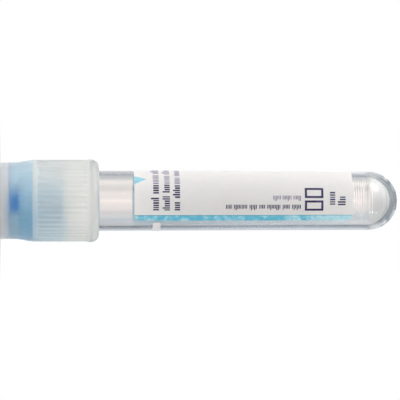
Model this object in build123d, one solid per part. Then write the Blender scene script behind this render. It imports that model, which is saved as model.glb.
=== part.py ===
from build123d import *
import os
from math import cos, degrees, radians, sin

# Blood collection tube: a clear plastic tube with a thin plastic liner, closed by a rubber
# stopper that a ribbed, see-through shield holds. It stands on the shield's flat top, round
# end up: Z is its axis and Z = 0 is the shield's top face. Sizes are in millimetres.

# Outer tube, from its mouth to its round end
tube_length = 76.05
tube_mouth_radius = 6.3
tube_end_radius = 6.1
tube_wall = 0.45
tube_end_wall = 0.9
tube_mouth_round = 0.12
parting_step = 0.04        # the round end is this much smaller, at the mould's parting line
gate_radius = 1.2          # the shallow ring that the mould's gate leaves at the end's tip
gate_nub_radius = 0.35
gate_depth = 0.25

# Liner inside the outer tube
liner_gap = 0.04
liner_wall = 0.4
liner_end_wall = 0.45
liner_rim_recess = 0.5     # from the outer tube's mouth to the liner's
liner_lip_length = 3.0
liner_lip_clearance = 0.01

# Rubber stopper: a flange that the tube's mouth stops on, and a hollow plug
flange_height = 5.15
flange_overhang = 0.775    # how far the flange reaches under the shield's ring
flange_edge_round = 0.2
plug_length = 6.45
plug_clearance = 0.05
plug_chamfer = 0.5
cup_radius = 3.3           # the hollow in the plug's end
cup_depth = 6.0
cup_round = 1.0
well_radius = 2.9          # the needle's target in the stopper's top
well_depth = 1.2
well_round = 0.8

# Shield: a top wall with a round opening, a pocket for the flange, a ring and a long skirt
shield_height = 20.5
top_wall = 1.8
top_land = 2.15            # how far the top wall reaches over the flange
top_edge_round = 0.35
collar_height = 3.5
flare_height = 3.2
flare_rise = 0.525
pocket_clearance = 0.05
grip_wall = 1.05
ring_height = 0.75
ring_clearance = 0.3
skirt_relief = 0.15        # the skirt's bore over the ring's
skirt_draft = 0.15         # the skirt's bore widens by this much on the way to its mouth
lip_rise = 0.105
lip_height = 2.3
lip_round = 1.6

# Flutes between the shield's ribs
rib_count = 48
flute_radius = 0.45
flute_depth = 0.25
flare_flute_depth = 0.1
flute_margin = 0.15        # between the flare's flutes and the flare's two ends

# Label: a wrap that leaves a clear window, with a fill line across the window
label_from_mouth = 20.75
label_length = 45.3
label_thickness = 0.1
label_glue = 0.02
label_start_angle = 20.0
label_angle = 291.3
label_corner = 1.1
fill_line_from_label = 3.9
fill_line_width = 1.6
fill_line_angle = 64.0
fill_line_root_angle = 2.0 # how far the fill line reaches into the label it grows from

# Places along the axis
seat_z = top_wall + flange_height
apex_z = seat_z + tube_length
flare_top_z = collar_height + flare_height
ring_top_z = seat_z + ring_height
lip_z = shield_height - lip_height
plug_end_z = seat_z + plug_length
liner_rim_z = seat_z + liner_rim_recess

# Radii that follow from the tube's mouth
ring_radius = tube_mouth_radius + ring_clearance
flange_radius = ring_radius + flange_overhang
grip_radius = flange_radius + pocket_clearance + grip_wall
collar_radius = grip_radius - flare_rise
lip_radius = grip_radius + lip_rise
opening_radius = flange_radius - flare_rise - top_land
skirt_radius = ring_radius + skirt_relief
mouth_radius = skirt_radius + skirt_draft

# The outer tube's bore, and the liner's two surfaces at the round end
bore_mouth_radius = tube_mouth_radius - tube_wall
bore_end_radius = tube_end_radius - tube_wall
bore_apex_z = apex_z - tube_end_wall
liner_end_radius = bore_end_radius - liner_gap
liner_apex_z = bore_apex_z - liner_gap


def on_cone(z, mouth_r, end_r, end_z):
    """Radius at a height, on a cone from the tube's mouth to the foot of its round end."""
    share = (z - seat_z) / (end_z - seat_z)
    return mouth_r + (end_r - mouth_r) * share


def tube_radius(z):
    """The outer tube's outside radius at a height."""
    return on_cone(z, tube_mouth_radius, tube_end_radius, apex_z - tube_end_radius + parting_step)


def bore_radius(z):
    """The outer tube's bore radius at a height."""
    return on_cone(z, bore_mouth_radius, bore_end_radius, bore_apex_z - bore_end_radius)


def turned(*points_and_rounds):
    """Solid turned about Z from an outline of (radius, z) points. A point may carry a third
    number: the radius that rounds its corner."""
    points = [p[:2] for p in points_and_rounds]
    face = make_face(Polyline(*points, close=True))
    for r, z, size in (p for p in points_and_rounds if len(p) == 3):
        corner = face.vertices().sort_by_distance((r, z, 0))[0]
        face = fillet(corner, size)
    return revolve(Plane.XZ * face, Axis.Z)


def round_ended(mouth_z, mouth_r, end_r, apex_z, step=0.0):
    """Solid test-tube shape: a slight cone from its mouth, and a round end."""
    ball = end_r - step
    centre_z = apex_z - ball
    upwards = (Align.CENTER, Align.CENTER, Align.MIN)
    side = Pos(0, 0, mouth_z) * Cone(mouth_r, end_r, centre_z - mouth_z, align=upwards)
    return side + Pos(0, 0, centre_z) * Sphere(ball)


def outer_tube():
    outside = round_ended(seat_z, tube_mouth_radius, tube_end_radius, apex_z, parting_step)
    body = outside - round_ended(seat_z, bore_mouth_radius, bore_end_radius, bore_apex_z)
    rim = body.edges().group_by(Axis.Z)[0]
    body = fillet(rim, tube_mouth_round)
    gate_ring = Cylinder(gate_radius, 2 * gate_depth) - Cylinder(gate_nub_radius, 2 * gate_depth)
    return body - Pos(0, 0, apex_z) * gate_ring


def inner_tube():
    liner_mouth_radius = bore_radius(liner_rim_z) - liner_gap
    lip_radius = bore_radius(liner_rim_z + liner_lip_length) - liner_lip_clearance
    body = round_ended(liner_rim_z, liner_mouth_radius, liner_end_radius, liner_apex_z)
    lip = Pos(0, 0, liner_rim_z) * Cylinder(
        lip_radius, liner_lip_length, align=(Align.CENTER, Align.CENTER, Align.MIN)
    )
    hollow = round_ended(
        liner_rim_z,
        liner_mouth_radius - liner_wall,
        liner_end_radius - liner_wall,
        liner_apex_z - liner_end_wall,
    )
    return body + lip - hollow


def stopper():
    plug_radius = bore_radius(plug_end_z) - liner_gap - liner_wall - plug_clearance
    top_radius = flange_radius - flare_rise
    body = turned(
        (0, top_wall),
        (top_radius, top_wall, flange_edge_round),
        (top_radius, collar_height),
        (flange_radius, flare_top_z),
        (flange_radius, seat_z),
        (plug_radius, seat_z),
        (plug_radius, plug_end_z - plug_chamfer),
        (plug_radius - plug_chamfer, plug_end_z),
        (0, plug_end_z),
    )
    cup = Pos(0, 0, plug_end_z) * Cylinder(
        cup_radius, cup_depth, align=(Align.CENTER, Align.CENTER, Align.MAX)
    )
    cup = fillet(cup.edges().sort_by(Axis.Z)[0], cup_round)
    well = Pos(0, 0, top_wall) * Cylinder(
        well_radius, well_depth, align=(Align.CENTER, Align.CENTER, Align.MIN)
    )
    well = fillet(well.edges().sort_by(Axis.Z)[-1], well_round)
    return body - cup - well


def shield_body():
    pocket_top_radius = flange_radius - flare_rise + pocket_clearance
    pocket_radius = flange_radius + pocket_clearance
    lip_wall = lip_radius - mouth_radius
    return turned(
        (opening_radius, 0, top_edge_round),
        (collar_radius, 0, top_edge_round),
        (collar_radius, collar_height),
        (grip_radius, flare_top_z),
        (grip_radius, lip_z),
        (lip_radius, lip_z + lip_rise),
        (lip_radius, shield_height, min(lip_round, 0.95 * lip_wall)),
        (mouth_radius, shield_height),
        (skirt_radius, ring_top_z),
        (ring_radius, ring_top_z),
        (ring_radius, seat_z),
        (pocket_radius, seat_z),
        (pocket_radius, flare_top_z),
        (pocket_top_radius, collar_height),
        (pocket_top_radius, top_wall),
        (opening_radius, top_wall),
    )


def flutes(low, high, depth):
    """Round-bottomed grooves, one between each two ribs, from one (radius, z) to another."""
    reach = flute_radius - depth
    start = Vector(low[0] + reach, 0, low[1])
    run = Vector(high[0] + reach, 0, high[1]) - start
    groove = Plane(origin=start, z_dir=run) * Cylinder(
        flute_radius, run.length, align=(Align.CENTER, Align.CENTER, Align.MIN)
    )
    return [Rot(0, 0, 360 / rib_count * i) * groove for i in range(rib_count)]


def shield():
    share = flute_margin / flare_height
    flare_low = (collar_radius + flare_rise * share, collar_height + flute_margin)
    flare_high = (grip_radius - flare_rise * share, flare_top_z - flute_margin)
    grip_flutes = flutes((grip_radius, ring_top_z), (grip_radius, lip_z), flute_depth)
    flare_flutes = flutes(flare_low, flare_high, flare_flute_depth)
    return shield_body() - grip_flutes - flare_flutes


def wrap(low_z, high_z, start_angle, angle):
    """A patch of label on the outer tube, between two heights and over an angle."""
    low_r = tube_radius(low_z) + label_glue
    high_r = tube_radius(high_z) + label_glue
    section = Polyline(
        (low_r, low_z),
        (low_r + label_thickness, low_z),
        (high_r + label_thickness, high_z),
        (high_r, high_z),
        close=True,
    )
    patch = revolve(Plane.XZ * make_face(section), Axis.Z, revolution_arc=angle)
    return Rot(0, 0, start_angle) * patch


def corner_waste(z, angle, up, round_the_axis):
    """What rounding a label's corner takes off. The two signs point from the label's middle
    to the corner: up or down, and round the axis one way or the other."""
    inset_angle = degrees(label_corner / tube_radius(z))
    out = radians(angle - round_the_axis * inset_angle)
    middle_z = z - up * label_corner
    middle = (tube_radius(z) * cos(out), tube_radius(z) * sin(out), middle_z)
    plane = Plane(origin=middle, x_dir=(-sin(out), cos(out), 0), z_dir=(cos(out), sin(out), 0))
    past = 1.3 * label_corner      # so that the block reaches over the label's two edges
    depth = 10 * label_thickness
    block = Pos(round_the_axis * past / 2, up * past / 2, 0) * Box(past, past, depth)
    return plane * (block - Cylinder(label_corner, depth))


def label():
    low_z = seat_z + label_from_mouth
    high_z = low_z + label_length
    end_angle = label_start_angle + label_angle
    sheet = wrap(low_z, high_z, label_start_angle, label_angle)
    for z, up in ((low_z, -1), (high_z, 1)):
        for angle, round_the_axis in ((label_start_angle, -1), (end_angle, 1)):
            sheet -= corner_waste(z, angle, up, round_the_axis)
    line_z = low_z + fill_line_from_label
    fill_line = wrap(
        line_z,
        line_z + fill_line_width,
        label_start_angle - fill_line_angle,
        fill_line_angle + fill_line_root_angle,
    )
    return sheet + fill_line


os.makedirs("parts", exist_ok=True)
for make in (shield, stopper, outer_tube, inner_tube, label):
    export_step(make(), f"parts/{make.__name__}.step")
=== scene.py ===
# Blood collection tube, standing on its closure with its round end up: a clear plastic tube
# with a thin liner, a wrap label, and a blue rubber stopper held in a ribbed, milky shield.
# Outlines are in millimetres, and become metres as their mesh is made.
import bpy
import bmesh
import math
import random
from mathutils import Euler, Matrix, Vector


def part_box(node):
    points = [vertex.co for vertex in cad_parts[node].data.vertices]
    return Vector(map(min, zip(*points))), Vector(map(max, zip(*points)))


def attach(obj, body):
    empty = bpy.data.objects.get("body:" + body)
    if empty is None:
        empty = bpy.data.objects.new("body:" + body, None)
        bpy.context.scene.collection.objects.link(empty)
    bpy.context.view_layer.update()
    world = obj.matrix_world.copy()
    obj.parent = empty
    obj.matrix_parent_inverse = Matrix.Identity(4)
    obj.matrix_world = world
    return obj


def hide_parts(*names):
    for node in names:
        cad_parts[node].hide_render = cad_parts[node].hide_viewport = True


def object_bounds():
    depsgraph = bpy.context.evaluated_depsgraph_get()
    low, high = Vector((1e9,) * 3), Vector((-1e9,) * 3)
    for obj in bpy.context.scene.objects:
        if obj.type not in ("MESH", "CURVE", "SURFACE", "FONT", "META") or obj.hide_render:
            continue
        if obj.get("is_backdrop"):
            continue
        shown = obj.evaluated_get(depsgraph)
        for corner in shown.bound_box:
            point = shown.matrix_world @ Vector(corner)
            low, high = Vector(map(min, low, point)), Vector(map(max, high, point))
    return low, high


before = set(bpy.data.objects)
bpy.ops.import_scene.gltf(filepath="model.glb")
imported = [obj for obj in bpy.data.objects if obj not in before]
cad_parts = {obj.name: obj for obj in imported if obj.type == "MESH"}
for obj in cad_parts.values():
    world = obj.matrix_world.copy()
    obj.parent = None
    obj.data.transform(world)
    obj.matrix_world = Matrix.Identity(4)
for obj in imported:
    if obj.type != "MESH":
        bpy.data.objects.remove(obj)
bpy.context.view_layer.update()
mm = 0.001


# ---------------------------------------------------------------------------------------------
# Shield: the closure's outer cap, one injection moulding in low-density polyethylene. A top
# wall with a round opening for the needle, a pocket that holds the stopper's flange behind a
# ring, and a skirt with moulded ribs that ends in a plain, rounded lip.

_, shield_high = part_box("shield")
shield_height = shield_high.z / mm
top_wall = 1.8
collar_height = 3.5
flare_top = 6.7
seat_height = 6.95         # here the tube's mouth rests on the stopper's flange
ribs_low = 7.7
ribs_high = 18.2
lip_step = 0.15            # over this height the ribs' end widens to the lip
lip_rise = 0.105           # how far the lip stands out over the ribs
flare_rise = 0.525         # how far the flare widens from the collar to the ribs
pocket_wall = 1.05
lip_radius = min(shield_high.x, shield_high.y) / mm
grip_radius = lip_radius - lip_rise
collar_radius = grip_radius - flare_rise
opening_radius = 4.7
mouth_radius = 6.9
skirt_radius = 6.75
ring_radius = 6.6
pocket_radius = grip_radius - pocket_wall
pocket_top_radius = collar_radius - pocket_wall
rib_count = 48
steps_per_rib = 8
rib_depth = 0.2
flare_rib_depth = 0.08
rib_fade = 0.35            # over this height a rib rises to its full depth
hold = 0.12                # from a long face's end to a line that keeps the face's shading flat
flare_hold = 0.12          # the same on the flare, as a share of its height
patch_turn = math.pi - 0.08        # the middle of one of three patches that squeeze the stopper
sharp_angle = math.radians(40)


def round_corner(bm, point, radius, segments):
    """Rounds a corner of a flat outline."""
    bmesh.ops.bevel(
        bm, geom=[point], offset=radius * mm, offset_type="OFFSET",
        segments=segments, profile=0.5, affect="VERTICES", material=-1,
    )


def turned(outline, steps):
    """Shape turned about Z from a closed outline of (radius, height) points. A point with a
    rounded corner has two more numbers: the corner's radius and the segments that round it."""
    bm = bmesh.new()
    points = [bm.verts.new((r * mm, 0, z * mm)) for r, z, *_ in outline]
    bm.faces.new(points)
    for point, (_, _, *corner) in zip(points, outline):
        if corner:
            round_corner(bm, point, *corner)
    bmesh.ops.delete(bm, geom=bm.faces[:], context="FACES_ONLY")
    axis_edges = [e for e in bm.edges if all(abs(v.co.x) < 1e-9 for v in e.verts)]
    bmesh.ops.delete(bm, geom=axis_edges, context="EDGES")
    for edge in [e for e in bm.edges if e.calc_length() > 6 * hold * mm]:
        length = edge.calc_length() / mm
        _, middle = bmesh.utils.edge_split(edge, edge.verts[0], hold / length)
        bmesh.utils.edge_split(edge, middle, 1 - hold / (length - hold))
    bmesh.ops.spin(
        bm, geom=bm.verts[:] + bm.edges[:], cent=(0, 0, 0), axis=(0, 0, 1),
        angle=2 * math.pi, steps=steps, use_merge=True,
    )
    bmesh.ops.remove_doubles(bm, verts=bm.verts[:], dist=1e-7)
    bmesh.ops.recalc_face_normals(bm, faces=bm.faces[:])
    return bm


def arc(centre_z, radius, start, end, steps=40):
    """Points of a round stretch of an outline whose centre is on the axis. Angles in degrees."""
    angles = [math.radians(start + (end - start) * i / steps) for i in range(steps + 1)]
    return [(radius * math.cos(a), centre_z + radius * math.sin(a)) for a in angles]


def fade(value, low, high, width):
    """1 between low and high, falling smoothly to 0 at both, over a width inside them."""
    share = min((value - low) / width, (high - value) / width, 1)
    return 0 if share <= 0 else share * share * (3 - 2 * share)


def finished(bm, name, body, materials):
    """Object of a bmesh, smooth but for its sharp edges, riding on a body of the frame."""
    for face in bm.faces:
        face.smooth = True
    for edge in bm.edges:
        edge.smooth = edge.is_manifold and edge.calc_face_angle() < sharp_angle
    mesh = bpy.data.meshes.new(name)
    bm.to_mesh(mesh)
    bm.free()
    for material in materials:
        mesh.materials.append(material)
    piece = bpy.data.objects.new(name, mesh)
    bpy.context.scene.collection.objects.link(piece)
    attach(piece, body)
    return piece


def linear(colour):
    """An sRGB hex colour as linear red, green and blue, with a full alpha."""
    parts = [int(colour[i:i + 2], 16) / 255 for i in (1, 3, 5)]
    return [p / 12.92 if p <= 0.04045 else ((p + 0.055) / 1.055) ** 2.4 for p in parts] + [1]


def new_material(name):
    """An empty node material and its tree."""
    material = bpy.data.materials.new(name)
    material.use_nodes = True
    material.node_tree.nodes.clear()
    return material, material.node_tree


def add(tree, kind, settings=None, inputs=None):
    """A node with its settings, and its inputs as plain values or as links from a socket."""
    node = tree.nodes.new("ShaderNode" + kind)
    for key, value in (settings or {}).items():
        setattr(node, key, value)
    for key, value in (inputs or {}).items():
        if isinstance(value, bpy.types.NodeSocket):
            tree.links.new(value, node.inputs[key])
        else:
            node.inputs[key].default_value = value
    return node


def graded(tree, value, stops, unit=1):
    """A colour that changes over a value, in a unit such as the millimetre. Each stop is a
    value and an sRGB hex colour, or a plain grey."""
    low, high = stops[0][0], stops[-1][0]
    share = add(tree, "MapRange", {}, {"Value": value, "From Min": low * unit, "From Max": high * unit})
    colours = [linear(c) if isinstance(c, str) else (c, c, c, 1) for _, c in stops]
    node = add(tree, "ValToRGB", {}, {"Fac": share.outputs[0]})
    ends = node.color_ramp.elements
    ends[0].color, ends[1].color = colours[0], colours[-1]
    for (stop, _), colour in zip(stops[1:-1], colours[1:-1]):
        ends.new((stop - low) / (high - low)).color = colour
    return node.outputs[0]


def squeezed(tree, axes):
    """How hard the shield presses on the stopper, from 0 to 1: hard in three patches round the
    collar, which fade slowly towards the top wall and fast towards the flare."""
    turn = add(tree, "Math", {"operation": "ARCTAN2"}, {0: axes.outputs["X"], 1: axes.outputs["Y"]})
    off_patch = add(tree, "Math", {"operation": "SUBTRACT"}, {0: turn.outputs[0], 1: patch_turn})
    third = add(tree, "Math", {"operation": "WRAP"}, {
        0: off_patch.outputs[0], 1: math.pi / 3, 2: -math.pi / 3,
    })
    across = graded(tree, third.outputs[0], (
        (-0.5, 0.0), (-0.36, 0.15), (-0.24, 0.6), (-0.12, 1.0), (0.12, 1.0),
        (0.24, 0.8), (0.36, 0.5), (0.48, 0.3), (0.6, 0.1), (0.72, 0.0),
    ))
    along = graded(tree, axes.outputs["Z"], (
        (1.8, 0.35), (2.2, 0.7), (2.6, 0.9), (3.0, 1.0), (3.65, 1.0),
        (4.05, 0.6), (4.3, 0.4), (4.7, 0.25), (5.5, 0.0),
    ), mm)
    return add(tree, "Math", {"operation": "MULTIPLY"}, {0: across, 1: along}).outputs[0]


def moulded_polyethylene():
    """Low-density polyethylene, moulded with a satin surface: milky, so that what touches it
    from inside shows through and what stands off is lost. It is milkiest at its top wall and at
    the ring that holds the stopper, it takes on the stopper's blue near it, with a painted shade that
    makes that blue darker on the side away from the window, and it is clearest where it presses on the
    stopper."""
    material, tree = new_material("moulded_polyethylene")
    place = add(tree, "TexCoord")
    axes = add(tree, "SeparateXYZ", {}, {0: place.outputs["Object"]})
    cloud_size = 3.85 * mm
    cloud = add(tree, "TexNoise", {}, {
        "Vector": place.outputs["Object"], "Scale": 1 / cloud_size, "Detail": 3.0,
    })
    milk = add(tree, "Mix", {"data_type": "RGBA"}, {
        0: cloud.outputs["Fac"], 6: linear("#f8f8f5"), 7: linear("#fdfcf9"),
    })

    # The ring, and then the ribs over its plug, are painted bluer and darker on the side away from the
    # window: the rubber's tint and a painted shade.
    at_ring = add(tree, "Math", {"operation": "COMPARE"}, {0: axes.outputs["Z"], 1: 7.33 * mm, 2: 0.4 * mm})
    ring_shade_side = add(tree, "MapRange", {}, {
        "Value": axes.outputs["X"], "From Min": -4 * mm, "From Max": 5 * mm,
    })
    plug_shade_side = add(tree, "MapRange", {}, {
        "Value": axes.outputs["X"], "From Min": 2 * mm, "From Max": 9 * mm,
    })
    plug_share = graded(tree, axes.outputs["Z"], ((6.8, 0.0), (7.7, 1.0), (12.5, 1.0), (14.5, 0.0)), mm)
    plug_shade_share = add(tree, "Math", {"operation": "MULTIPLY"}, {0: plug_shade_side.outputs[0], 1: plug_share})
    rubber_tint_and_shade = add(tree, "Math", {"operation": "MULTIPLY_ADD"}, {
        0: ring_shade_side.outputs[0], 1: at_ring.outputs[0], 2: plug_shade_share.outputs[0],
    })
    milk_with_blue_shade = add(tree, "Mix", {"data_type": "RGBA"}, {
        0: rubber_tint_and_shade.outputs[0], 6: milk.outputs[2], 7: linear("#e2f3fa"),
    })

    # The top wall is grey at its edge, and takes the rubber's blue towards the stopper; that blue is a
    # painted shade, pale on the window's side and darker away from it.
    at_wall = add(tree, "MapRange", {"interpolation_type": "SMOOTHSTEP"}, {
        "Value": axes.outputs["Z"], "From Min": 1.95 * mm, "From Max": 1.6 * mm,
    })
    wall_blue_shade = graded(tree, axes.outputs["X"], ((-4, "#e6ebf0"), (1, "#b0cbe2")), mm)
    wall_height = add(tree, "MapRange", {}, {
        "Value": axes.outputs["Z"], "From Min": 0.8 * mm, "From Max": 1.8 * mm,
    })
    wall_milk = add(tree, "Mix", {"data_type": "RGBA"}, {
        0: wall_height.outputs[0], 6: linear("#dadde0"), 7: wall_blue_shade,
    })
    colour = add(tree, "Mix", {"data_type": "RGBA"}, {
        0: at_wall.outputs[0], 6: milk_with_blue_shade.outputs[2], 7: wall_milk.outputs[2],
    })

    clear = graded(tree, axes.outputs["Z"], (
        (1.6, 0.4), (1.95, 0.9), (6.8, 0.9), (6.9, 0.65), (7.7, 0.65),
        (7.8, 0.84), (12.5, 0.82), (15.0, 0.66), (18.2, 0.66), (18.8, 0.92),
    ), mm)
    clarity = add(tree, "Math", {"operation": "MULTIPLY_ADD"}, {0: squeezed(tree, axes), 1: 0.1, 2: clear})
    plastic = add(tree, "BsdfPrincipled", {}, {
        "Base Color": colour.outputs[2], "Roughness": 0.4, "IOR": 1.51,
        "Transmission Weight": clarity.outputs[0],
        "Coat Weight": 0.6, "Coat Roughness": 0.15, "Coat IOR": 1.5,
    })
    add(tree, "OutputMaterial", {}, {"Surface": plastic.outputs[0]})
    return material


flare_height = flare_top - collar_height
outline = [
    (opening_radius, 0, 0.35, 5),
    (collar_radius, 0, 0.35, 5),
    (collar_radius, collar_height),
    (collar_radius + flare_hold * flare_rise, collar_height + flare_hold * flare_height),
    (grip_radius - flare_hold * flare_rise, flare_top - flare_hold * flare_height),
    (grip_radius, flare_top),
    (grip_radius, ribs_low),
    (grip_radius, ribs_low + rib_fade / 2),
    (grip_radius, ribs_low + rib_fade),
    (grip_radius, ribs_high - rib_fade),
    (grip_radius, ribs_high - rib_fade / 2),
    (grip_radius, ribs_high),
    (lip_radius, ribs_high + lip_step),
    (lip_radius, shield_height, 1.6, 14),
    (mouth_radius, shield_height),
    (skirt_radius, ribs_low),
    (ring_radius, ribs_low),
    (ring_radius, seat_height),
    (pocket_radius, seat_height),
    (pocket_radius, flare_top),
    (pocket_top_radius, collar_height),
    (pocket_top_radius, top_wall),
    (opening_radius, top_wall, 0.15, 3),
]
bm = turned(outline, rib_count * steps_per_rib)
for v in bm.verts:
    radius, height = math.hypot(v.co.x, v.co.y) / mm, v.co.z / mm
    on_the_outside = radius > pocket_radius + 0.2
    if on_the_outside:
        valley = 0.5 - 0.5 * math.cos(rib_count * math.atan2(v.co.y, v.co.x))
        depth = rib_depth * fade(height, ribs_low, ribs_high, rib_fade)
        depth += flare_rib_depth * fade(height, collar_height, flare_top, rib_fade)
        v.co.xy *= 1 - depth * valley / radius
shield = finished(bm, "closure_shield", "closure", [moulded_polyethylene()])
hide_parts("shield")


# ---------------------------------------------------------------------------------------------
# Stopper: one piece of compression-moulded light blue rubber. Its flange sits in the shield's
# pocket, its hollow plug seals the tube, and a shallow well in its top guides the needle.

_, stopper_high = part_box("stopper")
plug_end = stopper_high.z / mm
plug_radius = 5.34
plug_chamfer = 0.5
well_radius = 2.9
well_floor = top_wall + 1.2
cup_radius = 3.3
cup_floor = plug_end - 6.0
stand_off = 0.02           # keeps its flat faces apart from the shield's and the tube's
contact = 0.07             # its edge swells against the pocket's wall, so no air is between
contact_start = 0.2        # from the flange's top to where its edge is that wide
flange_radius = stopper_high.x / mm + contact
flange_top_radius = flange_radius - flare_rise


def moulded_rubber():
    """Butyl rubber, matt from its mould. Its blue is painted deeper towards the side away from the
    window, a painted shade, and deepest in the few patches where the shield squeezes it."""
    material, tree = new_material("moulded_rubber")
    place = add(tree, "TexCoord")
    axes = add(tree, "SeparateXYZ", {}, {0: place.outputs["Object"]})
    mottle_size = 2.38 * mm
    mottle = add(tree, "TexNoise", {}, {
        "Vector": place.outputs["Object"], "Scale": 1 / mottle_size, "Detail": 4.0,
    })
    pale = add(tree, "Mix", {"data_type": "RGBA"}, {
        0: mottle.outputs["Fac"], 6: linear("#c2e4f7"), 7: linear("#d2edfc"),
    })
    by_collar = add(tree, "MapRange", {"interpolation_type": "SMOOTHSTEP"}, {
        "Value": axes.outputs["Z"], "From Min": 3.6 * mm, "From Max": 4.3 * mm, "To Min": 1.0, "To Max": 0.0,
    })
    deep = add(tree, "Mix", {"data_type": "RGBA"}, {
        0: by_collar.outputs[0], 6: linear("#48acd3"), 7: linear("#8fc3de"),
    })
    # Painted shade: the rubber's blue deepens towards the side away from the window.
    away = add(tree, "MapRange", {}, {
        "Value": axes.outputs["X"], "From Min": -6.5 * mm, "From Max": 3.5 * mm,
    })
    shaded = add(tree, "Mix", {"data_type": "RGBA"}, {
        0: away.outputs[0], 6: pale.outputs[2], 7: deep.outputs[2],
    })
    blue = add(tree, "Mix", {"data_type": "RGBA"}, {
        0: squeezed(tree, axes), 6: shaded.outputs[2], 7: linear("#008ad5"),
    })
    bump = add(tree, "Bump", {}, {"Strength": 0.15, "Distance": 0.03 * mm, "Height": mottle.outputs["Fac"]})
    rubber = add(tree, "BsdfPrincipled", {}, {
        "Base Color": blue.outputs[2], "Roughness": 0.6, "IOR": 1.52, "Normal": bump.outputs[0],
    })
    add(tree, "OutputMaterial", {}, {"Surface": rubber.outputs[0]})
    return material


outline = [
    (0, well_floor),
    (well_radius, well_floor, 0.8, 6),
    (well_radius, top_wall + stand_off, 0.3, 4),
    (flange_top_radius - contact, top_wall + stand_off, 0.2, 4),
    (flange_top_radius, top_wall + contact_start),
    (flange_top_radius, collar_height),
    (flange_radius, flare_top),
    (flange_radius, seat_height - stand_off, 0.1, 3),
    (plug_radius, seat_height - stand_off),
    (plug_radius, plug_end - plug_chamfer),
    (plug_radius - plug_chamfer, plug_end, 0.2, 4),
    (cup_radius, plug_end, 0.2, 4),
    (cup_radius, cup_floor, 1.0, 6),
    (0, cup_floor),
]
stopper = finished(turned(outline, 128), "rubber_stopper", "closure", [moulded_rubber()])
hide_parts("stopper")


# ---------------------------------------------------------------------------------------------
# Outer tube: injection-moulded PET, clear and polished, a slight cone with a round end. The
# mould's parting line rings the foot of the round end, and its gate leaves a nub in a dimple
# at the tip.

_, tube_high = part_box("outer_tube")
apex = tube_high.z / mm
tube_mouth_radius = 6.3
tube_end_radius = 6.1
tube_wall = 0.45
tube_end_wall = 0.9
tube_steps = 256
parting_step = 0.04        # the round end is this much smaller, from the parting line on
parting_start = 0.5        # the parting line's groove starts this far below the round end
parting_width = 0.4
parting_depth = 0.05
end_radius = tube_end_radius - parting_step
end_centre = apex - end_radius
bore_mouth_radius = tube_mouth_radius - tube_wall
bore_end_radius = tube_end_radius - tube_wall
bore_centre = apex - tube_end_wall - bore_end_radius
gate_radius = 1.9
gate_slope = 0.1
gate_floor = apex - 0.38
nub_radius = 0.35
nub_round = 0.03


def polished_pet():
    """PET: water clear, with a polished skin and a faint cool grey where it is looked at edge on."""
    material, tree = new_material("polished_pet")
    plastic = add(tree, "BsdfPrincipled", {}, {
        "Base Color": linear("#ffffff"), "Roughness": 0.0, "IOR": 1.57, "Transmission Weight": 1.0,
    })
    depth = add(tree, "VolumeAbsorption", {}, {"Color": linear("#b9c6d2"), "Density": 10.0})
    add(tree, "OutputMaterial", {}, {"Surface": plastic.outputs[0], "Volume": depth.outputs[0]})
    return material


def sheared_pet():
    """PET where the gate was cut off: dull and faintly violet."""
    material, tree = new_material("sheared_pet")
    plastic = add(tree, "BsdfPrincipled", {}, {
        "Base Color": linear("#dad6e0"), "Roughness": 0.4, "IOR": 1.57, "Transmission Weight": 0.6,
    })
    add(tree, "OutputMaterial", {}, {"Surface": plastic.outputs[0]})
    return material


gate_angle = math.degrees(math.acos(gate_radius / end_radius))
groove_low = end_centre - parting_start
outline = [
    (bore_mouth_radius, seat_height, 0.12, 4),
    (tube_mouth_radius, seat_height, 0.12, 4),
    (tube_end_radius, groove_low),
    (tube_end_radius - parting_depth, groove_low + parting_width / 2),
    (tube_end_radius, groove_low + parting_width),
    (tube_end_radius, end_centre),
    *arc(end_centre, end_radius, 1, gate_angle),
    (gate_radius - gate_slope, gate_floor),
    (nub_radius, gate_floor),
    (nub_radius, apex - nub_round),
    (0, apex),
    *arc(bore_centre, bore_end_radius, 90, 0),
]
bm = turned(outline, tube_steps)
for face in bm.faces:
    middle = face.calc_center_median() / mm
    if middle.z > gate_floor - 0.01 and middle.xy.length < gate_radius:
        face.material_index = 1
outer_tube = finished(bm, "outer_tube_pet", "tube", [polished_pet(), sheared_pet()])
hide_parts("outer_tube")


# ---------------------------------------------------------------------------------------------
# Inner tube: a thin polypropylene liner that keeps the liquid additive from drying out. It
# hangs by a snug lip near the mouth, and its mould core left fine rings round its end.

liner_low, liner_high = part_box("inner_tube")
liner_rim = liner_low.z / mm
liner_apex = liner_high.z / mm
liner_lip_radius = liner_high.x / mm
liner_gap = 0.04
liner_wall = 0.4
liner_foot_wall = 0.55     # at the foot of its round end, because its bore tapers more
liner_end_wall = 0.45
lip_foot = liner_rim + 3.0
liner_mouth_radius = bore_mouth_radius - liner_gap
liner_end_radius = bore_end_radius - liner_gap
liner_centre = liner_apex - liner_end_radius
liner_bore_end = liner_end_radius - liner_foot_wall
liner_bore_centre = liner_apex - liner_end_wall - liner_bore_end
rings_low = 72.5
ring_pitch = 0.5
ring_height = 0.006
steps_per_ring = 6


def moulded_polypropylene():
    """Polypropylene: clear in so thin a wall, but for a slight warm haze."""
    material, tree = new_material("moulded_polypropylene")
    plastic = add(tree, "BsdfPrincipled", {}, {
        "Base Color": linear("#fffdfc"), "Roughness": 0.03, "IOR": 1.49, "Transmission Weight": 0.98,
    })
    add(tree, "OutputMaterial", {}, {"Surface": plastic.outputs[0]})
    return material


def liner_radius(z):
    """The liner's outside radius at a height, below its lip."""
    share = (z - liner_rim) / (liner_centre - liner_rim)
    return liner_mouth_radius + (liner_end_radius - liner_mouth_radius) * share


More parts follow.
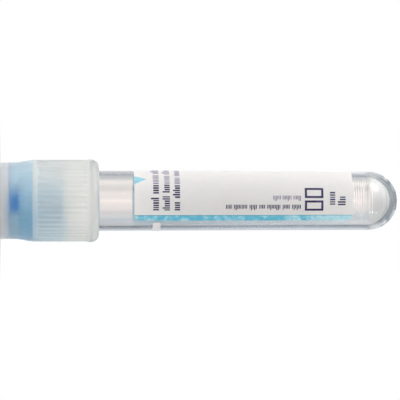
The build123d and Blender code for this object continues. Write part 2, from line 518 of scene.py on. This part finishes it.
outline = [
    (liner_mouth_radius - liner_wall, liner_rim),
    (liner_lip_radius, liner_rim),
    (liner_lip_radius, lip_foot),
    (liner_radius(lip_foot), lip_foot),
]
for i in range(int((liner_centre - rings_low) / ring_pitch * steps_per_ring)):
    height = rings_low + i * ring_pitch / steps_per_ring
    wave = ring_height * math.sin(2 * math.pi * i / steps_per_ring)
    outline.append((liner_radius(height) + wave, height))
outline += arc(liner_centre, liner_end_radius, 0, 90)
outline += arc(liner_bore_centre, liner_bore_end, 90, 0)
inner_tube = finished(
    turned(outline, tube_steps), "liner_tube", "tube", [moulded_polypropylene()]
)
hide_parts("inner_tube")


# ---------------------------------------------------------------------------------------------
# Label: die cut flat from coated paper, with a tongue that marks the fill level, and rolled
# on to the tube so that it leaves a clear window. It is cut flat here too, in (round, height,
# out) places, and then bent round.

label_low, label_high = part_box("label")
label_bottom = label_low.z / mm
label_top = label_high.z / mm
wrap_radius = 6.3
wrap_start = math.radians(-41.3)   # from the side that faces the front
wrap_angle = math.radians(291.3)
sheet_width = wrap_angle * wrap_radius
corner = (1.1, 6)          # each corner's radius and the segments that round it
tongue_low = label_bottom + 3.9
tongue_high = tongue_low + 1.6
tongue_end = sheet_width + math.radians(64) * wrap_radius
tongue_corner = (0.4, 4)
glue = 0.01
paper_thickness = 0.06
ink_thickness = 0.006
ink_sink = 0.002           # the ink starts this deep in the paper, so that no gap shows
bend_step = math.radians(2.5) * wrap_radius


def tube_radius(z):
    """The outer tube's outside radius at a height."""
    share = (z - seat_height) / (end_centre - seat_height)
    return tube_mouth_radius + (tube_end_radius - tube_mouth_radius) * share


def flat_shape(bm, outline, material=0):
    """A flat face of (round, height) points. A point with a rounded corner has two more
    numbers, as in turned."""
    points = [bm.verts.new((x * mm, y * mm, 0)) for x, y, *_ in outline]
    bm.faces.new(points).material_index = material
    for point, (_, _, *corner) in zip(points, outline):
        if corner:
            round_corner(bm, point, *corner)


def wrapped(bm, out, thickness):
    """Gives flat faces a thickness, and bends them round the tube at a distance out from it."""
    for i in range(1, int(tongue_end / bend_step) + 1):
        bmesh.ops.bisect_plane(
            bm, geom=bm.verts[:] + bm.edges[:] + bm.faces[:], dist=1e-9,
            plane_co=(i * bend_step * mm, 0, 0), plane_no=(1, 0, 0),
        )
    top = bmesh.ops.extrude_face_region(bm, geom=bm.faces[:], use_keep_orig=True)
    for v in top["geom"]:
        if isinstance(v, bmesh.types.BMVert):
            v.co.z = thickness * mm
    for v in bm.verts:
        angle = wrap_start + v.co.x / mm / wrap_radius
        radius = tube_radius(v.co.y / mm) * mm + out * mm + v.co.z
        v.co = (-radius * math.sin(angle), -radius * math.cos(angle), v.co.y)
    bmesh.ops.recalc_face_normals(bm, faces=bm.faces[:])
    return bm


def coated_paper():
    """Coated label paper: off-white, faintly fibrous, a little light passing through it."""
    material, tree = new_material("coated_paper")
    place = add(tree, "TexCoord")
    fibre_size = 1.11 * mm     # coarser than real fibres, so that they show
    fibre = add(tree, "TexNoise", {}, {
        "Vector": place.outputs["Object"], "Scale": 1 / fibre_size, "Detail": 5.0,
    })
    white = add(tree, "Mix", {"data_type": "RGBA"}, {
        0: fibre.outputs["Fac"], 6: linear("#f7ede6"), 7: linear("#fdf4ed"),
    })
    bump = add(tree, "Bump", {}, {"Strength": 0.2, "Distance": 0.01 * mm, "Height": fibre.outputs["Fac"]})
    paper = add(tree, "BsdfPrincipled", {}, {
        "Base Color": white.outputs[2], "Roughness": 0.5, "IOR": 1.5, "Normal": bump.outputs[0],
        "Subsurface Weight": 1.0, "Subsurface Radius": (0.8, 0.93, 1.0), "Subsurface Scale": 0.4 * mm,
    })
    add(tree, "OutputMaterial", {}, {"Surface": paper.outputs[0]})
    return material


def adhesive():
    """The label's back, which shows through the window: paper under acrylic adhesive, cooler and
    a little uneven where it has wetted the tube."""
    material, tree = new_material("acrylic_adhesive")
    place = add(tree, "TexCoord")
    wet_size = 5.56 * mm
    wetting = add(tree, "TexNoise", {}, {
        "Vector": place.outputs["Object"], "Scale": 1 / wet_size, "Detail": 3.0,
    })
    cool = add(tree, "Mix", {"data_type": "RGBA"}, {
        0: wetting.outputs["Fac"], 6: linear("#cde2ec"), 7: linear("#d6e8f1"),
    })
    backing = add(tree, "BsdfPrincipled", {}, {"Base Color": cool.outputs[2], "Roughness": 0.3, "IOR": 1.47})
    add(tree, "OutputMaterial", {}, {"Surface": backing.outputs[0]})
    return material


bm = bmesh.new()
flat_shape(bm, [
    (0, label_bottom, *corner),
    (sheet_width, label_bottom, *corner),
    (sheet_width, tongue_low, *tongue_corner),
    (tongue_end, tongue_low, *tongue_corner),
    (tongue_end, tongue_high, *tongue_corner),
    (sheet_width, tongue_high, *tongue_corner),
    (sheet_width, label_top, *corner),
    (0, label_top, *corner),
])
wrapped(bm, glue, paper_thickness)
for face in bm.faces:
    outward = face.calc_center_median().xy.normalized()
    if face.normal.xy.dot(outward) < -0.5:
        face.material_index = 1
label = finished(bm, "wrap_label", "tube", [coated_paper(), adhesive()])
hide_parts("label")


# ---------------------------------------------------------------------------------------------
# Print on the label: a turquoise stripe along one edge and a wedge of the same, and rows of
# plain bars, two tick boxes and ruled lines in dark violet. Offset ink, slightly mottled.


def offset_ink(name, colour, worn_colour, wear):
    """Offset ink: a flat colour that thins in small patches, as it does on coated stock, more so
    towards the round end, where fingers rub it."""
    material, tree = new_material(name)
    place = add(tree, "TexCoord")
    axes = add(tree, "SeparateXYZ", {}, {0: place.outputs["Object"]})
    patch_size = 1.43 * mm
    patches = add(tree, "TexNoise", {}, {
        "Vector": place.outputs["Object"], "Scale": 1 / patch_size, "Detail": 4.0,
    })
    rubbed = add(tree, "MapRange", {"interpolation_type": "SMOOTHSTEP"}, {
        "Value": axes.outputs["Z"], "From Min": 55 * mm, "From Max": 75 * mm, "To Max": 0.8 * wear,
    })
    patchy = add(tree, "Math", {"operation": "ADD"}, {0: patches.outputs["Fac"], 1: rubbed.outputs[0]})
    thin = add(tree, "MapRange", {"interpolation_type": "SMOOTHSTEP"}, {
        "Value": patchy.outputs[0], "From Min": 0.7 - wear, "From Max": 0.75,
    })
    ink = add(tree, "Mix", {"data_type": "RGBA"}, {
        0: thin.outputs[0], 6: linear(colour), 7: linear(worn_colour),
    })
    coat = add(tree, "BsdfPrincipled", {}, {"Base Color": ink.outputs[2], "Roughness": 0.45, "IOR": 1.5})
    add(tree, "OutputMaterial", {}, {"Surface": coat.outputs[0]})
    return material


inks = [
    offset_ink("turquoise_ink", "#56b6d3", "#b4e1ee", 0.32),
    offset_ink("violet_ink", "#2f2350", "#4c3f72", 0.15),
    offset_ink("pale_violet_ink", "#6f6488", "#8f86a6", 0.2),
    offset_ink("stripe_line_ink", "#5b9fba", "#78b4cb", 0.2),
    offset_ink("pale_turquoise_ink", "#86c6da", "#aedfec", 0.3),
]
turquoise, violet, pale_violet, stripe_line, pale_turquoise = range(5)


def bars(bm, along, start, end, base, height, stroke, gap, ink):
    """A row of plain upright bars in groups, standing on a base line. It runs round the tube
    or along it, and a negative height points the bars the other way."""
    place = start
    step = 1 if end > start else -1
    while (end - place) * step > 0:
        for _ in range(bar_sizes.randint(4, 9)):
            tall = height * bar_sizes.choice((0.7, 0.72, 0.75, 1.0))
            wide = stroke * bar_sizes.uniform(0.8, 1.25)
            low, high = sorted((place, place + wide * step))
            foot, top = sorted((base, base + tall))
            corners = [(low, foot), (high, foot), (high, top), (low, top)]
            if along == "height":
                corners = [(y, x) for x, y in corners]
            flat_shape(bm, corners, ink)
            place += (wide + gap) * step
            if (end - place) * step <= 0:
                break
        place += 2.2 * stroke * step


def field(bm, left, right, foot, top, ink):
    """A plain four-cornered field of ink."""
    flat_shape(bm, [(left, foot), (right, foot), (right, top), (left, top)], ink)


def tick_box(bm, left, right, foot, top, line, ink):
    """A plain square outline of four bars, two across and two between them."""
    field(bm, left, right, foot, foot + line, ink)
    field(bm, left, right, top - line, top, ink)
    field(bm, left, left + line, foot + line, top - line, ink)
    field(bm, right - line, right, foot + line, top - line, ink)


bar_sizes = random.Random(7)
edge = 0.03                # the print stays this far inside the label's edge
stripe_width = 1.3
line_width = 0.14
box_width = 2.2
rule_width = 0.12
print_low, print_high = label_bottom + edge, label_top - edge
stripe_corner = (corner[0] - edge, corner[1])
bm = bmesh.new()
flat_shape(bm, [
    (edge, print_low, *stripe_corner), (stripe_width, print_low),
    (stripe_width, print_high), (edge, print_high, *stripe_corner),
], turquoise)
field(bm, stripe_width, stripe_width + line_width, print_low, print_high, stripe_line)

# A wedge that points from the label's edge towards the round end.
flat_shape(bm, [(8.1, print_low), (10.4, print_low), (9.5, label_bottom + 2.5)], pale_turquoise)

# Three rows round the tube near the closure, each in dark and then in paler, finer bars.
for low, high, wide in ((31.1, 32.75, 0.32), (33.5, 35.0, 0.29), (35.65, 37.1, 0.31)):
    tall, fine = low - high, 0.6 * wide
    bars(bm, "round", start=2.5, end=7.8, base=high, height=tall, stroke=wide, gap=0.16, ink=violet)
    bars(bm, "round", start=8.2, end=21.0, base=high, height=tall, stroke=fine, gap=0.2, ink=pale_violet)

# Two rows along the tube that end at the tick boxes, and two short ones round it beyond them.
bars(bm, "height", start=62.1, end=56.5, base=5.6, height=-1.1, stroke=0.13, gap=0.14, ink=pale_violet)
bars(bm, "height", start=62.1, end=46.4, base=3.7, height=-1.15, stroke=0.18, gap=0.13, ink=violet)
for left in (2.4, 5.1):
    tick_box(bm, left, left + box_width, foot=62.95, top=66.8, line=0.45, ink=violet)
bars(bm, "round", start=3.7, end=6.2, base=69.25, height=-1.5, stroke=0.28, gap=0.2, ink=violet)
bars(bm, "round", start=3.6, end=6.2, base=71.4, height=-1.6, stroke=0.28, gap=0.2, ink=violet)

# Three ruled lines on the far side, to write on.
for left in (16.0, 19.0, 22.0):
    field(bm, left, left + rule_width, foot=42.0, top=70.0, ink=pale_violet)
wrapped(bm, glue + paper_thickness - ink_sink, ink_thickness)
finished(bm, "label_print", "tube", inks)


# ---------------------------------------------------------------------------------------------
# Studio: a pale floor, a white backdrop, and soft light that comes mostly from one side.

stage_radius = 0.25


def white_floor():
    """Matt white board that fades to the backdrop's white away from the part."""
    material, tree = new_material("white_board")
    board = add(tree, "BsdfDiffuse", {}, {"Color": linear("#f2f2f2")})
    glow = add(tree, "Emission", {}, {"Color": (1, 1, 1, 1), "Strength": 1.0})
    place = add(tree, "TexCoord")
    reach = add(tree, "VectorMath", {"operation": "LENGTH"}, {0: place.outputs["Object"]})
    far = add(tree, "MapRange", {"interpolation_type": "SMOOTHSTEP"}, {
        "Value": reach.outputs["Value"], "From Min": 8 * mm, "From Max": 18 * mm, "To Min": 0.35,
    })
    rays = add(tree, "LightPath")
    mirrored = add(tree, "Math", {"operation": "ADD"}, {
        0: rays.outputs["Is Glossy Ray"], 1: rays.outputs["Is Transmission Ray"],
    })
    shown = add(tree, "Math", {"operation": "ADD", "use_clamp": True}, {
        0: rays.outputs["Is Camera Ray"], 1: mirrored.outputs[0],
    })
    seen = add(tree, "Math", {"operation": "MULTIPLY"}, {0: shown.outputs[0], 1: far.outputs[0]})
    both = add(tree, "MixShader", {}, {0: seen.outputs[0], 1: board.outputs[0], 2: glow.outputs[0]})
    add(tree, "OutputMaterial", {}, {"Surface": both.outputs[0]})
    return material


bm = bmesh.new()
bmesh.ops.create_circle(bm, cap_ends=True, segments=96, radius=stage_radius)
mesh = bpy.data.meshes.new("floor")
bm.to_mesh(mesh)
bm.free()
mesh.materials.append(white_floor())
floor = bpy.data.objects.new("floor", mesh)
bpy.context.scene.collection.objects.link(floor)
floor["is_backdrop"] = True

world = bpy.data.worlds.new("studio")
bpy.context.scene.world = world
world.use_nodes = True
sky = world.node_tree
sky.nodes.clear()
direction = add(sky, "TexCoord")
toward = add(sky, "SeparateXYZ", {}, {0: direction.outputs["Generated"]})
height = add(sky, "Math", {"operation": "ABSOLUTE"}, {0: toward.outputs["Z"]})

# What shines through the clear plastic at eye level: white cards behind the part and at its
# sides, which give way to the grey of the room and, on their right, to a dark curtain. The
# stops are turns in degrees from the middle of the back, and repeat after half a turn.
turn = add(sky, "Math", {"operation": "ARCTAN2"}, {0: toward.outputs["X"], 1: toward.outputs["Y"]})
half_turn = add(sky, "Math", {"operation": "WRAP"}, {
    0: turn.outputs[0], 1: math.radians(138), 2: math.radians(-42),
})
cards = graded(sky, half_turn.outputs[0], (
    (-42, "#bcc0c6"), (-30, "#c8cbd0"), (-19, "#d0d3d6"), (-11.7, "#e0e1e1"), (-8, "#f4f2ee"),
    (-4.4, "#f9f6f2"), (0, "#fcf4f1"), (1.7, "#f6f0ed"), (4.4, "#e4e6e6"), (8, "#b4c4cd"),
    (12, "#b3bec8"), (16, "#b6bfc8"), (22, "#c4cad0"), (31, "#c8ccd2"), (36, "#b4b8c0"),
    (44, "#68727a"), (47, "#566069"), (59, "#566069"), (66, "#bec4c9"), (75, "#d0d3d6"),
    (82, "#e9e8e6"), (90, "#fff8f5"), (98, "#bcc5cb"), (110, "#b0b7bf"), (118, "#a8adb5"),
    (125, "#9096a0"), (134, "#9096a0"), (138, "#bcc0c6"),
), math.radians(1))

# The cards are brighter towards their upper edge, which is a little above eye level, by a share
# that differs from side to side: from -0.55 where the gain is 0 to 1 where it is 1.
upper = graded(sky, height.outputs[0], (
    (0.035, 0.0), (0.09, 1.0), (0.11, 0.9), (0.13, 0.6), (0.15, 0.2),
))
gain = graded(sky, toward.outputs["X"], (
    (-0.93, 0.0), (-0.85, 0.2), (-0.77, 0.55), (-0.64, 0.75), (-0.5, 0.7), (-0.2, 0.58), (0.05, 0.4),
    (0.3, 0.36), (0.5, 0.47), (0.7, 1.0), (0.82, 1.0), (0.87, 0.7), (0.93, 0.7), (0.97, 0.95),
))
more = add(sky, "Math", {"operation": "MULTIPLY_ADD"}, {0: gain, 1: 1.55, 2: -0.55})
lift = add(sky, "Math", {"operation": "MULTIPLY_ADD"}, {0: upper, 1: more.outputs[0], 2: 1.0})
lifted = add(sky, "VectorMath", {"operation": "SCALE"}, {0: cards, "Scale": lift.outputs[0]})

# Over the cards the room is more even, and grey behind the part.
far_up = add(sky, "MapRange", {}, {
    "Value": height.outputs[0], "From Min": 0.15, "From Max": 0.22, "To Max": 0.7,
})
evened = add(sky, "Mix", {"data_type": "RGBA"}, {
    0: far_up.outputs[0], 6: lifted.outputs[0], 7: linear("#f0f2f3"),
})
above = graded(sky, height.outputs[0], (
    (0.14, 1.0), (0.155, "#e0e2e2"), (0.44, "#d8dada"), (0.54, "#8e9aa0"),
))
carded = add(sky, "Mix", {"data_type": "RGBA", "blend_type": "MULTIPLY"}, {
    0: 1.0, 6: evened.outputs[2], 7: above,
})

# All this fills the view behind the part, and a low band at its sides.
hood = add(sky, "MapRange", {"interpolation_type": "SMOOTHSTEP"}, {
    "Value": toward.outputs["Y"], "From Min": 0.34, "From Max": 0.46,
})
level = add(sky, "MapRange", {"interpolation_type": "SMOOTHSTEP"}, {
    "Value": height.outputs[0], "From Min": 0.22, "From Max": 0.16,
})
carded_share = add(sky, "Math", {"operation": "MAXIMUM"}, {0: hood.outputs[0], 1: level.outputs[0]})

# Everywhere else the room is soft and white, and brightest on the side of the window.
room = add(sky, "MapRange", {"interpolation_type": "SMOOTHSTEP"}, {
    "Value": toward.outputs["X"], "From Min": -0.9, "From Max": 0.6, "To Min": 1.8, "To Max": 0.55,
})
carded_room = add(sky, "Mix", {"data_type": "RGBA"}, {
    0: carded_share.outputs[0], 6: room.outputs[0], 7: carded.outputs[2],
})

# A round lamp shade behind the part, above the cards, shines through its round end.
shade_turn, shade_rise = math.radians(-8), math.radians(16)
to_shade = (
    math.cos(shade_rise) * math.sin(shade_turn),
    math.cos(shade_rise) * math.cos(shade_turn),
    math.sin(shade_rise),
)
off_shade = add(sky, "VectorMath", {"operation": "DOT_PRODUCT"}, {
    0: direction.outputs["Generated"], 1: to_shade,
})
shade_share = add(sky, "MapRange", {"interpolation_type": "SMOOTHSTEP"}, {
    "Value": off_shade.outputs["Value"],
    "From Min": math.cos(math.radians(5)), "From Max": math.cos(math.radians(1)),
})
shown = add(sky, "Mix", {"data_type": "RGBA"}, {
    0: shade_share.outputs[0], 6: carded_room.outputs[2], 7: (1.15, 1.15, 1.15, 1),
})

# What falls on matt surfaces: the window's light from one side, and cooler light from behind.
window = add(sky, "MapRange", {"interpolation_type": "SMOOTHSTEP"}, {
    "Value": toward.outputs["X"], "From Min": -0.8, "From Max": -0.25,
})
behind = add(sky, "MapRange", {"interpolation_type": "SMOOTHSTEP"}, {
    "Value": toward.outputs["Y"], "From Min": -0.2, "From Max": 0.6,
})
shaded = add(sky, "Mix", {"data_type": "RGBA"}, {
    0: behind.outputs[0], 6: linear("#f4eee7"), 7: linear("#d0dee8"),
})
falling = add(sky, "Mix", {"data_type": "RGBA"}, {
    0: window.outputs[0], 6: (1.85, 1.85, 1.85, 1), 7: shaded.outputs[2],
})
rays = add(sky, "LightPath")
lit = add(sky, "Mix", {"data_type": "RGBA"}, {
    0: rays.outputs["Is Diffuse Ray"], 6: shown.outputs[2], 7: falling.outputs[2],
})
seen = add(sky, "Mix", {"data_type": "RGBA"}, {
    0: rays.outputs["Is Camera Ray"], 6: lit.outputs[2], 7: (1, 1, 1, 1),
})
backdrop = add(sky, "Background", {}, {"Color": seen.outputs[2], "Strength": 1.0})
add(sky, "OutputWorld", {}, {"Surface": backdrop.outputs[0]})

# Two small lamps in front, at these turns in degrees from the front, give the round end its
# two glints.
lamp_size = 0.03
lamp_reach = 0.5
for name, turn, height, watts in (
    ("lower_glint_on_end", 48.0, 0.2, 0.022),
    ("upper_glint_on_end", 49.0, 0.29, 0.028),
):
    light = bpy.data.lights.new(name, "AREA")
    light.size, light.energy = lamp_size, watts
    lamp = bpy.data.objects.new(name, light)
    bpy.context.scene.collection.objects.link(lamp)
    angle = math.radians(turn)
    lamp.location = (lamp_reach * math.sin(angle), -lamp_reach * math.cos(angle), height)
    lamp.rotation_euler = (math.radians(90), 0, angle)
    lamp.visible_camera = False

# Camera: low, near the closure's height, tilted up at the part's middle and turned on its side,
# so that the part lies across the picture with its closure at the left.
camera_distance = 0.5
camera_height = 10 * mm
camera_aside = -0.15 * mm
picture_width = 83.32 * mm
camera_tilt = math.radians(3.617)
optics = bpy.data.cameras.new("camera")
optics.sensor_width = 36.0
optics.lens = optics.sensor_width * camera_distance / picture_width
optics.clip_start, optics.clip_end = 0.05, 5.0
camera = bpy.data.objects.new("camera", optics)
bpy.context.scene.collection.objects.link(camera)
camera.location = (camera_aside, -camera_distance, camera_height)
on_its_side = Euler((math.radians(90), math.radians(-90), 0)).to_matrix()
camera.rotation_euler = (Matrix.Rotation(camera_tilt, 3, "X") @ on_its_side).to_euler()
bpy.context.scene.camera = camera

bpy.context.scene.view_settings.view_transform = "Standard"

# Light that runs round inside the tube's wall is followed until it leaves, or the round end
# would have black edges.
cycles = bpy.context.scene.cycles
cycles.blur_glossy = 0
cycles.max_bounces = cycles.transmission_bounces = cycles.glossy_bounces = 128
cycles.diffuse_bounces = 16

low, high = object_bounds()
